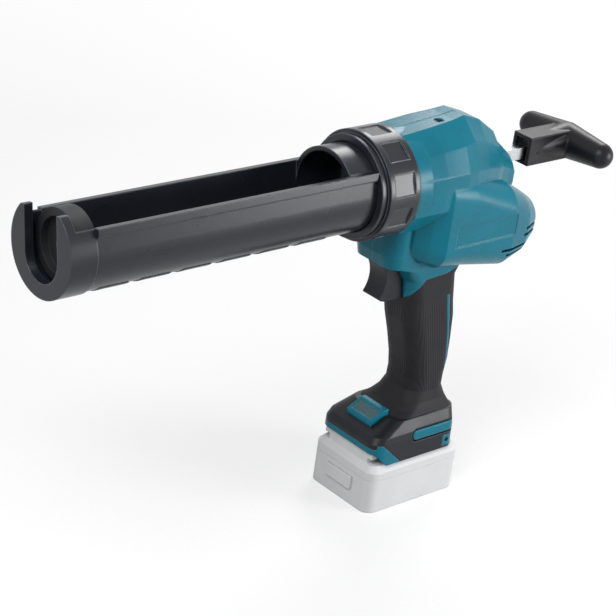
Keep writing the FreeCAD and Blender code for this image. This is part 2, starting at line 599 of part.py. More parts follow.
# the lowest screw stands in the grip, above the foot
grip_screw_shares = (-0.3, 0.45)
screw_places.append((grip_screw_shares[0] * size("handle_reach"), size("grip_screw_z"),
                     grip_screw_shares[1] * size("handle_half_width")))
x_axis = FreeCAD.Vector(1, 0, 0)
left_axis = FreeCAD.Vector(0, 1, 0)
up_axis = FreeCAD.Vector(0, 0, 1)
top_screw = FreeCAD.Vector(size("top_screw_x"), size("top_screw_y"), axis + size("top_screw_height"))
seats = [(FreeCAD.Vector(x, -head_y, z), -left_axis) for x, z, head_y in screw_places]
seats.append((top_screw, up_axis))
head_radius = size("screw_head_radius")
head_ways = [Part.makeCylinder(head_radius + seat, overrun, point, out) for point, out in seats]
handle_outer = handle_form(0)
sleeve_band = side_prism(sleeve_edge_shares, -overrun, overrun)
stripes = side_prism(stripe_shares, -overrun, overrun)
trigger_half = size("trigger_width") / 2 + size("running_gap")
trigger_low = size("trigger_low_z")
trigger_way = block(0, overrun, -trigger_half, trigger_half, trigger_low - size("running_gap"),
                    size("trigger_top_z") + size("running_gap"))
sleeve = handle_outer.common(sleeve_band).cut(
    [handle_form(size("sleeve_thickness")), trigger_way, stripes] + head_ways)

collar_inner_x = size("handle_reach") - size("collar_wall")
upper_cavity_band = block(size("cavity_rear_x"), collar_inner_x, -overrun, overrun, 0, axis + overrun)
grip_inset = wall + size("sleeve_thickness")
cavity = upper_form(wall).common(upper_cavity_band)
cavity = cavity.fuse([motor_case_form(wall), handle_form(grip_inset)])
collar_start = FreeCAD.Vector(size("handle_reach") - size("collar_length"), 0, axis)
collar = Part.makeCylinder(size("collar_radius"), size("collar_length"), collar_start, x_axis)
outer = upper_form(0).fuse([collar, motor_case_form(0), handle_outer])

# Webs and screw posts that carry the drive inside the shell
web_slabs = []
case_floor = size("motor_case_z") - size("motor_case_half_height")
for alias in ("front_web_x", "gear_web_x", "motor_front_web_x", "motor_rear_web_x"):
    low_x = size(alias)
    web_slabs.append(block(low_x, low_x + size("web_thickness"), -overrun, overrun, case_floor, axis))
guide_rear = size("guide_rear_x")
web_slabs.append(block(guide_rear - wall, guide_rear + size("guide_length"), -overrun, overrun,
                       size("web_floor_z"), axis + overrun))
switch_floor_z = trigger_low - size("switch_floor")
web_slabs.append(block(-overrun, 0, -overrun, overrun, switch_floor_z, trigger_low))
post_radius = size("screw_post_radius")
top_root = top_screw - up_axis * size("screw_length")
web_slabs.append(Part.makeCylinder(post_radius, overrun, top_root, up_axis))
for x, z, head_y in screw_places:
    web_slabs.append(Part.makeCylinder(post_radius, 2 * overrun, FreeCAD.Vector(x, -overrun, z), left_axis))
webs = cavity.common(web_slabs[0].fuse(web_slabs[1:]))

motor_z = size("motor_z")
motor_front_x = size("motor_front_x")
head_rear_x = size("head_rear_x")
half_head = size("head_half_width") + seat
half_guide = size("guide_width") / 2 + seat
rod_space = size("rod_width") / 2 + size("running_gap")
half_switch = size("switch_width") / 2 + seat
flange_x = collar_inner_x - size("spigot_flange_length")
pockets = [
    Part.makeCylinder(size("motor_radius") + seat, size("motor_length"),
                      FreeCAD.Vector(size("motor_rear_x"), 0, motor_z), x_axis),
    Part.makeCylinder(size("gearbox_radius") + seat, size("gearbox_length"),
                      FreeCAD.Vector(motor_front_x, 0, motor_z), x_axis),
    block(head_rear_x - seat, head_rear_x + size("head_length") + seat, -half_head, half_head,
          size("head_bottom_z") - seat, size("head_top_z") + wall),
    block(guide_rear - seat, guide_rear + size("guide_length") + seat, -half_guide, half_guide,
          axis - size("guide_height") / 2 - seat, axis + size("guide_height") / 2 + seat),
    block(-2 * overrun, size("handle_reach"), -rod_space, rod_space, rod_low - size("running_gap"),
          rod_high + size("running_gap")),
    Part.makeCylinder(size("spigot_radius") + seat, overrun, FreeCAD.Vector(collar_inner_x, 0, axis), x_axis),
    Part.makeCylinder(size("spigot_radius") + size("spigot_flange") + seat, size("spigot_flange_length"),
                      FreeCAD.Vector(flange_x, 0, axis), x_axis),
    trigger_way,
    block(-size("switch_length"), 0, -half_switch, half_switch, trigger_low,
          trigger_low + size("switch_height") + seat),
]
# the sleeve keeps clear of the drive and the switch
sleeve = sleeve.cut(pockets)
node("grip_overmould", feature("grip_overmould", sleeve))
vent_shares = [(-0.65, -1.1, -0.43), (-0.62, -1.1, -0.56), (-0.23, -0.8, -0.76), (-0.33, -0.68, -0.88)]
motor_case_x = size("motor_case_x")
half_case = size("motor_case_half_length")
for front, rear, up in vent_shares:
    low_z = size("motor_case_z") + up * size("motor_case_half_height")
    for low_y, high_y in ((-overrun, -size("motor_radius")), (size("motor_radius"), overrun)):
        pockets.append(block(motor_case_x + rear * half_case, motor_case_x + front * half_case, low_y, high_y,
                             low_z, low_z + size("vent_height")))
plate_y = size("motor_case_half_width") - size("plate_depth")
half_plate = size("plate_length") / 2
plate_rise = size("plate_height") / 2
for low_y, high_y in ((-overrun, -plate_y), (plate_y, overrun)):
    pockets.append(block(size("plate_x") - half_plate, size("plate_x") + half_plate, low_y, high_y,
                         size("plate_z") - plate_rise, size("plate_z") + plate_rise))
screws = []
slot_half = size("screw_slot_width") / 2
slot_reach = head_radius - slot_half
slot_floor = size("screw_head_length") - size("screw_slot_depth")
for (point, out), head_way in zip(seats, head_ways):
    root = point - out * size("screw_length")
    pockets.append(Part.makeCylinder(size("screw_radius") + seat, size("screw_length"), root, out))
    pockets.append(head_way)
    screw = Part.makeCylinder(size("screw_radius"), size("screw_length"), root, out)
    screw = screw.fuse(Part.makeCylinder(head_radius, size("screw_head_length"), point, out))
    cross = block(-slot_reach, slot_reach, -slot_half, slot_half, slot_floor, overrun).fuse(
        block(-slot_half, slot_half, -slot_reach, slot_reach, slot_floor, overrun))
    cross.Placement = FreeCAD.Placement(point, FreeCAD.Rotation(up_axis, out))
    screws.append(screw.cut(cross))
node("housing_screws", feature("housing_screws", Part.makeCompound(screws)))

shell = outer.cut(cavity).fuse(webs).cut(pockets + [sleeve])
for name, low_y, high_y in (("housing_left", 0, overrun), ("housing_right", -overrun, 0)):
    half = shell.common(block(-3 * overrun, 2 * overrun, low_y, high_y, 0, axis + overrun))
    node(name, feature(name, half))

# Trigger with a finger hollow, and the switch behind it
trigger_pad = prism("trigger_pad", [
    ("trigger_rear_x", "trigger_low_z"), ("trigger_front_x - 3 * finger_depth / 2", "trigger_low_z"),
    ("trigger_front_x - finger_depth / 2", "trigger_low_z + finger_depth / 4"),
    ("trigger_front_x - finger_depth / 8", "trigger_low_z + finger_depth / 2"),
    ("trigger_front_x", "trigger_low_z + finger_depth"),
    ("trigger_front_x", "trigger_top_z"), ("trigger_rear_x", "trigger_top_z")], "trigger_width")
node("trigger", cut("trigger", trigger_pad, [
    cylinder("trigger_hollow", along_y, "finger_radius", "cut_overrun",
             "trigger_front_x + finger_radius - finger_depth", "-cut_overrun / 2",
             "trigger_top_z - (trigger_height - finger_depth) / 2")]))
node("switch_body", mid_box("switch_body", "switch_length - seat_gap", "switch_width", "switch_height",
                            "-switch_length + seat_gap", "trigger_low_z"))

# Foot: a hollow shoe with two rails for the pack, trims, a hook seat on each side and a work light
def foot_form(inset):
    low_z = size("foot_bottom_z")
    high_z = size("foot_top_z")
    foot_shares = [(0, 1, 1, 1), (0.56, 1, 1, 0.98), (0.72, 0.93, 1, 0.95), (1, 0.5, 1.04, 0.82)]
    wires = []
    for up, front, rear, wide in foot_shares:
        half = wide * size("foot_half_width") - inset
        z = low_z + up * (high_z - low_z - inset)
        low_x = rear * size("foot_rear_x") + inset
        high_x = front * size("foot_front_x") - inset
        wires.append(rounded_wire(low_x, high_x, -half, half, size("foot_corner") - inset,
                                  lambda a, b, z=z: FreeCAD.Vector(a, b, z)))
    return Part.makeLoft(wires, True, True)


foot_outer = foot_form(0)
front_x = size("foot_front_x")
gap_z = size("foot_front_gap_z")
half_foot = size("foot_half_width")
skirt_band = block(front_x - size("skirt_depth"), front_x + overrun, -overrun, overrun, gap_z,
                   gap_z + size("skirt_height"))
catch_shares = [(1.2, 0), (1.2, 1), (0.84, 1), (0.4, -1), (0.72, -1), (0.95, 0)]
catch_rise = size("catch_rise")
catch_drop = gap_z - size("foot_bottom_z")
catch_y = half_foot - size("catch_depth")
for low_y, high_y in ((-overrun, -catch_y), (catch_y, overrun)):
    points = [FreeCAD.Vector(along * front_x, low_y, gap_z + up * (catch_rise if up > 0 else catch_drop))
              for along, up in catch_shares]
    catch = Part.Face(Part.makePolygon(points + points[:1])).extrude(FreeCAD.Vector(0, high_y - low_y, 0))
    skirt_band = skirt_band.fuse(catch)
# the pack shows in front of the catches, below the skirt
front_way_shares = [(1.2, 0), (0.95, 0), (0.605, -1.5), (1.2, -1.5)]
front_way_points = [FreeCAD.Vector(along * front_x, -overrun, gap_z + up * catch_drop)
                    for along, up in front_way_shares]
front_way = Part.Face(Part.makePolygon(front_way_points + front_way_points[:1]))
front_way = front_way.extrude(FreeCAD.Vector(0, 2 * overrun, 0))
neck_half = size("tower_neck_half_width") + size("running_gap")
head_half = size("tower_head_half_width") + size("running_gap")
neck_top = size("tower_neck_z")
tower_top = size("tower_top_z")
rail_top = neck_top - size("running_gap")
foot_cavity = foot_form(size("foot_wall"))
rails = foot_cavity.common(block(-overrun, overrun, -overrun, overrun, 0, rail_top))
rails = rails.cut(block(-overrun, overrun, -neck_half, neck_half, 0, axis))
tower_way = block(size("tower_rear_x") - size("running_gap"), 2 * overrun, -head_half, head_half, rail_top,
                  tower_top + size("running_gap"))
neck_way = block(size("tower_rear_x") - size("running_gap"), 2 * overrun, -neck_half, neck_half, 0,
                 tower_top + size("running_gap"))
skirt = foot_outer.common(skirt_band).cut([foot_cavity, tower_way, neck_way])


def slotted(front_x, rear_x, mid_z, half, low_y, high_y):
    end = Part.makeCylinder(half, high_y - low_y, FreeCAD.Vector(front_x - half, low_y, mid_z), left_axis)
    return block(rear_x, front_x - half, low_y, high_y, mid_z - half, mid_z + half).fuse(end)


hook_blocks = []
hook_rails = []
hook_seats = []
hook_nut_half = size("hook_nut_size") / 2
nut_x = size("hook_nut_x")
nut_z = size("hook_nut_z")
rail_z = size("hook_rail_z")
rail_half = size("hook_rail_half_height")
rail_share = 0.96
rail_border = size("hook_rail_border")
rail_front = size("hook_rail_front_x")
rail_rear = rail_front - size("hook_rail_length")
for side in (-1, 1):
    low_y, high_y = sorted((side * (half_foot - size("hook_bore_length")), side * overrun))
    hook_blocks.append(block(nut_x - hook_nut_half, nut_x + hook_nut_half, low_y, high_y,
                             nut_z - hook_nut_half, nut_z + hook_nut_half))
    low_y, high_y = sorted((side * (half_foot * rail_share - size("hook_rail_depth")), side * overrun))
    hook_rails.append(slotted(rail_front, rail_rear, rail_z, rail_half, low_y, high_y))
    hook_seats.append(slotted(rail_front + rail_border, rail_rear - rail_border, rail_z,
                              rail_half + rail_border, low_y, high_y))
hook_bore = Part.makeCylinder(size("hook_bore_radius"), 2 * overrun,
                              FreeCAD.Vector(nut_x, -overrun, nut_z), left_axis)
nuts = foot_outer.common(hook_blocks[0].fuse(hook_blocks[1]))
nut_hold = nuts
nuts = nuts.cut(hook_bore)
bars = foot_outer.common(hook_rails[0].fuse(hook_rails[1]))
wire_hole = Part.makeCylinder(size("wire_hole_radius"), overrun,
                              FreeCAD.Vector(size("foot_rear_x") / 2, 0, gap_z), up_axis)
shoe = foot_outer.cut(foot_cavity).fuse(rails).cut([tower_way, neck_way, skirt_band, front_way, wire_hole])
shoe = shoe.fuse(foot_cavity.common(hook_blocks[0].fuse(hook_blocks[1]))).cut([nut_hold] + hook_seats)
node("foot_housing", feature("foot_housing", shoe))
node("foot_skirt", feature("foot_skirt", skirt))
node("hook_nuts", feature("hook_nuts", nuts))
node("hook_rails", feature("hook_rails", bars))

light_floor = "(foot_front_gap_z + skirt_height)"
light_flat_share = 0.25
light_crest_x = f"light_rear_x + {light_flat_share} * light_length"
light_body = prism("light_body", [
    ("light_rear_x", light_floor), ("light_front_x", light_floor),
    ("light_front_x", "foot_top_z - light_nose_drop"), (light_crest_x, "foot_top_z + light_height"),
    ("light_rear_x", "foot_top_z + light_height")], "2 * light_half_width")
lens_drop = f"light_wall * (light_height + light_nose_drop) / ({1 - light_flat_share} * light_length)"
lens_low = f"foot_top_z - light_nose_drop + {lens_drop}"
lens_high = f"foot_top_z + light_height - {lens_drop}"
lens_outline = [
    ("light_front_x - light_wall", lens_low), (f"{light_crest_x} + light_wall", lens_high),
    (f"{light_crest_x} + light_wall", f"{lens_high} - lens_thickness"),
    ("light_front_x - light_wall", f"{lens_low} - lens_thickness")]
lens = prism("led_lens", lens_outline, "2 * (light_half_width - light_wall)")
node("light_housing", cut("light_housing", light_body, [lens, feature("light_seat", foot_outer)]))
node("led_lens", lens)

node("terminal_block", mid_box("terminal_block", "terminal_length", "terminal_width", "terminal_height",
                               "terminal_x", "ceiling_z - terminal_height"))
node("speed_controller", mid_box("speed_controller", "controller_length", "controller_width",
                                 "controller_height", "controller_rear_x", "ceiling_z - controller_height"))
blades = []
for name, side in (("left", ""), ("right", "-")):
    blades.append(box(f"blade_{name}", "blade_length", "blade_thickness", "blade_depth", "terminal_x",
                      f"{side}blade_spacing / 2 - blade_thickness / 2",
                      "ceiling_z - terminal_height - blade_depth"))
node("terminal_blades", fuse("terminal_blades", blades))

# Battery pack: a lower case, a lid with the sliding tower, three cells, contacts and a release button
def pack_wire(inset, z):
    half_long = size("pack_half_length") - inset
    half_wide = size("pack_half_width") - inset
    return rounded_wire(-half_long, half_long, -half_wide, half_wide, size("pack_corner") - inset,
                        lambda a, b: FreeCAD.Vector(a, b, z))


def pack_form(inset, low_z, high_z):
    return Part.Face(pack_wire(inset, low_z)).extrude(FreeCAD.Vector(0, 0, high_z - low_z))


pack_wall = size("pack_wall")
split_z = size("pack_split_z")
pack_top = size("pack_top_z")
button_low = size("button_bottom_z") - size("running_gap")
button_high = size("button_bottom_z") + size("button_height") + size("running_gap")
button_side = size("button_half_width") + size("running_gap")
button_way = block(0, 2 * overrun, -button_side, button_side, button_low, button_high)
case = pack_form(0, 0, split_z).cut([pack_form(pack_wall, pack_wall, split_z), button_way])
node("battery_case", feature("battery_case", case))
neck = block(size("tower_rear_x"), size("tower_front_x"), -size("tower_neck_half_width"),
             size("tower_neck_half_width"), pack_top, neck_top)
head = block(size("tower_rear_x"), size("tower_front_x"), -size("tower_head_half_width"),
             size("tower_head_half_width"), neck_top, tower_top)
shoulder = size("pack_shoulder")
lid_hollow = pack_form(pack_wall, split_z, pack_top - shoulder)
lid_slope = Part.makeLoft([pack_wire(0, pack_top - shoulder), pack_wire(shoulder, pack_top)], True, True)
lid = pack_form(0, split_z, pack_top - shoulder).cut(lid_hollow).fuse([lid_slope, neck, head])
slot_half = size("tower_slot_width") / 2
slot_front = size("terminal_x") + size("blade_length") + size("running_gap") + size("contact_length")
contacts = []
for side in (-1, 1):
    middle = side * size("blade_spacing") / 2
    lid = lid.cut(block(-overrun, slot_front, middle - slot_half, middle + slot_half, pack_top, axis))
    contacts.append(block(slot_front - size("contact_length"), slot_front, middle - slot_half,
                          middle + slot_half, pack_top, tower_top))
node("battery_lid", feature("battery_lid", lid))
node("battery_contacts", feature("battery_contacts", Part.makeCompound(contacts)))
cells = []
for name, side in (("left", "cell_pitch"), ("middle", "0"), ("right", "-cell_pitch")):
    cells.append(cylinder(f"cell_{name}", along_x, "cell_radius", "cell_length",
                          "-pack_half_length + pack_wall + cell_end_gap", side, "pack_wall + cell_radius"))
node("battery_cells", fuse("battery_cells", cells))
flange_front = "(pack_half_length - pack_wall)"
node("battery_button", fuse("battery_button", [
    mid_box("button_face", "pack_wall + button_proud + button_flange_length / 2", "2 * button_half_width",
            "button_height", f"{flange_front} - button_flange_length / 2", "button_bottom_z"),
    mid_box("button_back", "button_flange_length", "2 * (button_half_width + button_flange)",
            "button_height + 2 * button_flange", f"{flange_front} - button_flange_length",
            "button_bottom_z - button_flange")]))

doc.recompute()
faults = [obj.Name for obj in doc.Objects if "Invalid" in obj.State or "Error" in obj.State]
faults += [name for name, obj in nodes.items() if obj.Shape.isNull() or not obj.Shape.isValid()]
if faults:
    raise RuntimeError("faulty pieces: " + ", ".join(faults))
os.makedirs("parts", exist_ok=True)
for name, obj in nodes.items():
    obj.Shape.exportStep(f"parts/{name}.step")
    print(name, len(obj.Shape.Solids), round(obj.Shape.Volume), obj.Shape.BoundBox)
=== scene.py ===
import bpy
import math
from mathutils import Matrix, Vector

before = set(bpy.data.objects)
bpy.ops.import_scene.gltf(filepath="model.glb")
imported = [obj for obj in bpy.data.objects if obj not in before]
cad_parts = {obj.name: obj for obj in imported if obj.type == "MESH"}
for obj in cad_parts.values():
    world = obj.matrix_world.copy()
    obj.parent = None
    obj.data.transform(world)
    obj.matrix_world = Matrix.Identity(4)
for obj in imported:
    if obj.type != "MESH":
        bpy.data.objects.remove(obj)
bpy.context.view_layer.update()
scene = bpy.context.scene
scene.view_settings.view_transform = "Standard"
mm = 0.001


def linear(hexText, alpha=1.0):
    parts = [int(hexText[i:i + 2], 16) / 255 for i in (1, 3, 5)]
    return [c / 12.92 if c <= 0.04045 else ((c + 0.055) / 1.055) ** 2.4 for c in parts] + [alpha]


# adds one node, sets its properties or sockets, and links the sockets named in links
def addNode(tree, kind, settings=None, links=None):
    node = tree.nodes.new(kind)
    for key, value in (settings or {}).items():
        if isinstance(key, int) or key in node.inputs:
            node.inputs[key].default_value = value
        else:
            setattr(node, key, value)
    for key, source in (links or {}).items():
        tree.links.new(source, node.inputs[key])
    return node


def newMaterial(name):
    material = bpy.data.materials.new(name)
    material.use_nodes = True
    tree = material.node_tree
    return material, tree, tree.nodes["Principled BSDF"]


# Moulded thermoplastic: a spark-eroded tool leaves a fine even grain that breaks up the gloss,
# the melt leaves faint cloudy flow, and a painted highlight lightens the edges a little.
plasticLooks = {
    "housing": {"name": "housingAbsMoulded", "baseHex": "#06758A", "deepHex": "#056B7F", "edgeHighlightHex": "#2A97AC",
                "flowMm": 40, "grainMm": 0.6, "grainDepth": 0.15, "edgeMm": 1.6, "edgeHighlight": 0.35,
                "rough": (0.24, 0.32), "shine": 0.16, "ior": 1.53},
    "holder": {"name": "holderNylonMoulded", "baseHex": "#1C2028", "deepHex": "#191D24", "edgeHighlightHex": "#5C636F",
               "flowMm": 30, "grainMm": 0.8, "grainDepth": 0.12, "edgeMm": 1.2, "edgeHighlight": 0.7,
               "rough": (0.26, 0.3), "shine": 0.32, "ior": 1.53},
    "foot": {"name": "footNylonMoulded", "baseHex": "#1E2026", "deepHex": "#191B20", "edgeHighlightHex": "#4A4E57",
             "flowMm": 25, "grainMm": 0.6, "grainDepth": 0.25, "edgeMm": 1.2, "edgeHighlight": 0.4,
             "rough": (0.32, 0.42), "shine": 0.2, "ior": 1.53},
    "pull": {"name": "pullHandleNylonMoulded", "baseHex": "#1A1A1E", "deepHex": "#141417",
             "edgeHighlightHex": "#3A3B41", "flowMm": 25, "grainMm": 0.5, "grainDepth": 0.2, "edgeMm": 2.0,
             "edgeHighlight": 0.3, "rough": (0.3, 0.4), "shine": 0.2, "ior": 1.53},
    "pack": {"name": "packAbsFrosted", "baseHex": "#DFE0E1", "deepHex": "#D7D8DA", "edgeHighlightHex": "#EEEEEE",
             "flowMm": 30, "grainMm": 0.7, "grainDepth": 0.2, "edgeMm": 1.0, "edgeHighlight": 0.5,
             "rough": (0.42, 0.55), "shine": 0.4, "ior": 1.5},
    "inner": {"name": "innerNylonMoulded", "baseHex": "#26272A", "deepHex": "#1E1F22", "edgeHighlightHex": "#404146",
              "flowMm": 20, "grainMm": 0.6, "grainDepth": 0.2, "edgeMm": 0.4, "edgeHighlight": 0.3,
              "rough": (0.45, 0.6), "shine": 0.3, "ior": 1.53},
    "potting": {"name": "controllerResinPotted", "baseHex": "#1D2A22", "deepHex": "#141C18",
                "edgeHighlightHex": "#2F4236", "flowMm": 8, "grainMm": 1.0, "grainDepth": 0.1, "edgeMm": 0.4,
                "edgeHighlight": 0.2, "rough": (0.2, 0.35), "shine": 0.5, "ior": 1.55},
    "cell": {"name": "cellSleeveShrunk", "baseHex": "#7C8A96", "deepHex": "#6B7884", "edgeHighlightHex": "#A0ABB4",
             "flowMm": 12, "grainMm": 0.6, "grainDepth": 0.08, "edgeMm": 0.4, "edgeHighlight": 0.4,
             "rough": (0.28, 0.4), "shine": 0.5, "ior": 1.5},
}
# what all the plastics share: how the edges for the painted highlight are found, and how the flow spreads
# over tone and gloss
plasticCommon = {"flowDetail": 3.0, "grainDetail": 2.0, "edgeSamples": 6, "edgeMatch": (0.99, 0.8),
                 "toneSpan": (0.3, 0.7), "glossSpan": (0.25, 0.75), "grainShare": 0.25}


def mouldedPlastic(look):
    common = plasticCommon
    material, tree, shader = newMaterial(look["name"])
    place = addNode(tree, "ShaderNodeTexCoord")
    flow = addNode(tree, "ShaderNodeTexNoise",
                   {"Scale": 1 / (look["flowMm"] * mm), "Detail": common["flowDetail"]},
                   {"Vector": place.outputs["Object"]})
    grain = addNode(tree, "ShaderNodeTexNoise",
                    {"Scale": 1 / (look["grainMm"] * mm), "Detail": common["grainDetail"]},
                    {"Vector": place.outputs["Object"]})
    rounded = addNode(tree, "ShaderNodeBevel",
                      {"samples": common["edgeSamples"], "Radius": look["edgeMm"] * mm})
    flat = addNode(tree, "ShaderNodeNewGeometry")
    match = addNode(tree, "ShaderNodeVectorMath", {"operation": "DOT_PRODUCT"},
                    {0: rounded.outputs["Normal"], 1: flat.outputs["Normal"]})
    # mask of the rounded edges, where the bevelled normal turns away from the true one; it carries the
    # painted highlight
    edge = addNode(tree, "ShaderNodeMapRange",
                   {"From Min": common["edgeMatch"][0], "From Max": common["edgeMatch"][1],
                    "To Min": 0.0, "To Max": look["edgeHighlight"]},
                   {"Value": match.outputs["Value"]})
    cloud = addNode(tree, "ShaderNodeValToRGB", links={"Fac": flow.outputs["Fac"]})
    for stop, position, tone in zip(cloud.color_ramp.elements, common["toneSpan"], ("deepHex", "baseHex")):
        stop.position = position
        stop.color = linear(look[tone])
    # painted highlight: the edges are mixed towards a lighter colour
    colour = addNode(tree, "ShaderNodeMixRGB", {"Color2": linear(look["edgeHighlightHex"])},
                     {"Fac": edge.outputs["Result"], "Color1": cloud.outputs["Color"]})
    gloss = addNode(tree, "ShaderNodeMapRange",
                    {"From Min": common["glossSpan"][0], "From Max": common["glossSpan"][1],
                     "To Min": look["rough"][0], "To Max": look["rough"][1]},
                    {"Value": flow.outputs["Fac"]})
    bump = addNode(tree, "ShaderNodeBump",
                   {"Strength": look["grainDepth"], "Distance": look["grainMm"] * mm * common["grainShare"]},
                   {"Height": grain.outputs["Fac"], "Normal": rounded.outputs["Normal"]})
    for socket, source in (("Base Color", colour.outputs["Color"]), ("Roughness", gloss.outputs["Result"]),
                           ("Normal", bump.outputs["Normal"])):
        tree.links.new(source, shader.inputs[socket])
    shader.inputs["IOR"].default_value = look["ior"]
    shader.inputs["Specular IOR Level"].default_value = look["shine"]
    return material


# Metal parts: fine parallel scratches from grinding, turning or drawing stretch the highlight along them.
metalLooks = {
    "rod": {"name": "rodSteelGround", "baseHex": "#BEC1C5", "deepHex": "#94979C", "lineMm": 0.4,
            "streak": (0.04, 1, 1), "rough": (0.18, 0.34), "edgeMm": 0.2},
    "gear": {"name": "gearSteelHobbed", "baseHex": "#B9BCC0", "deepHex": "#8D9095", "lineMm": 0.4,
             "streak": (1, 0.06, 1), "rough": (0.25, 0.42), "edgeMm": 0.15},
    "pin": {"name": "pinSteelBlackened", "baseHex": "#2C2D30", "deepHex": "#1C1D1F", "lineMm": 0.3,
            "streak": (1, 0.1, 1), "rough": (0.35, 0.5), "edgeMm": 0.15},
    "bush": {"name": "bushBronzeSintered", "baseHex": "#C08A52", "deepHex": "#8F6237", "lineMm": 0.5,
             "streak": (1, 1, 1), "rough": (0.4, 0.6), "edgeMm": 0.15},
    "cast": {"name": "spigotAluminiumDieCast", "baseHex": "#B4B7BB", "deepHex": "#92959A", "lineMm": 0.9,
             "streak": (1, 1, 1), "rough": (0.38, 0.55), "edgeMm": 0.4},
    "can": {"name": "motorSteelPlated", "baseHex": "#A5A8AD", "deepHex": "#84878C", "lineMm": 0.5,
            "streak": (0.08, 1, 1), "rough": (0.28, 0.42), "edgeMm": 0.3},
    "contact": {"name": "contactBrassPlated", "baseHex": "#D2C08A", "deepHex": "#A8955F", "lineMm": 0.3,
                "streak": (0.1, 1, 1), "rough": (0.22, 0.36), "edgeMm": 0.1},
}
metalCommon = {"scratchDetail": 4.0, "edgeSamples": 4, "scratchDepth": 0.25, "scratchShare": 0.1}


def workedMetal(look):
    common = metalCommon
    material, tree, shader = newMaterial(look["name"])
    place = addNode(tree, "ShaderNodeTexCoord")
    along = addNode(tree, "ShaderNodeMapping", {"Scale": look["streak"]}, {"Vector": place.outputs["Object"]})
    scratch = addNode(tree, "ShaderNodeTexNoise",
                      {"Scale": 1 / (look["lineMm"] * mm), "Detail": common["scratchDetail"]},
                      {"Vector": along.outputs["Vector"]})
    tint = addNode(tree, "ShaderNodeValToRGB", links={"Fac": scratch.outputs["Fac"]})
    for stop, tone in zip(tint.color_ramp.elements, ("deepHex", "baseHex")):
        stop.color = linear(look[tone])
    gloss = addNode(tree, "ShaderNodeMapRange", {"To Min": look["rough"][0], "To Max": look["rough"][1]},
                    {"Value": scratch.outputs["Fac"]})
    rounded = addNode(tree, "ShaderNodeBevel",
                      {"samples": common["edgeSamples"], "Radius": look["edgeMm"] * mm})
    bump = addNode(tree, "ShaderNodeBump",
                   {"Strength": common["scratchDepth"],
                    "Distance": look["lineMm"] * mm * common["scratchShare"]},
                   {"Height": scratch.outputs["Fac"], "Normal": rounded.outputs["Normal"]})
    for socket, source in (("Base Color", tint.outputs["Color"]), ("Roughness", gloss.outputs["Result"]),
                           ("Normal", bump.outputs["Normal"])):
        tree.links.new(source, shader.inputs[socket])
    shader.inputs["Metallic"].default_value = 1.0
    return material


# Overmoulded thermoplastic rubber: matt and slightly dusty, with moulded ribs that run up the grip.
# The ribs fade in and out along the grip between the heights in ribLow and ribHigh.
gripLook = {"name": "gripRubberMoulded", "baseHex": "#1D1D21", "dustHex": "#2B2B30", "ribMm": 1.7,
            "ribAcross": (1, 1, -0.2), "ribLow": (0.074, 0.082), "ribHigh": (0.148, 0.138), "ribDepth": 0.55,
            "ribReliefMm": 0.35, "grainMm": 0.5, "grainDepth": 0.25, "grainReliefMm": 0.1, "cloudMm": 18,
            "detail": 3.0, "dustSpan": (0.35, 0.8), "dustMost": 0.35, "rough": (0.5, 0.72), "shine": 0.2,
            "ior": 1.52}


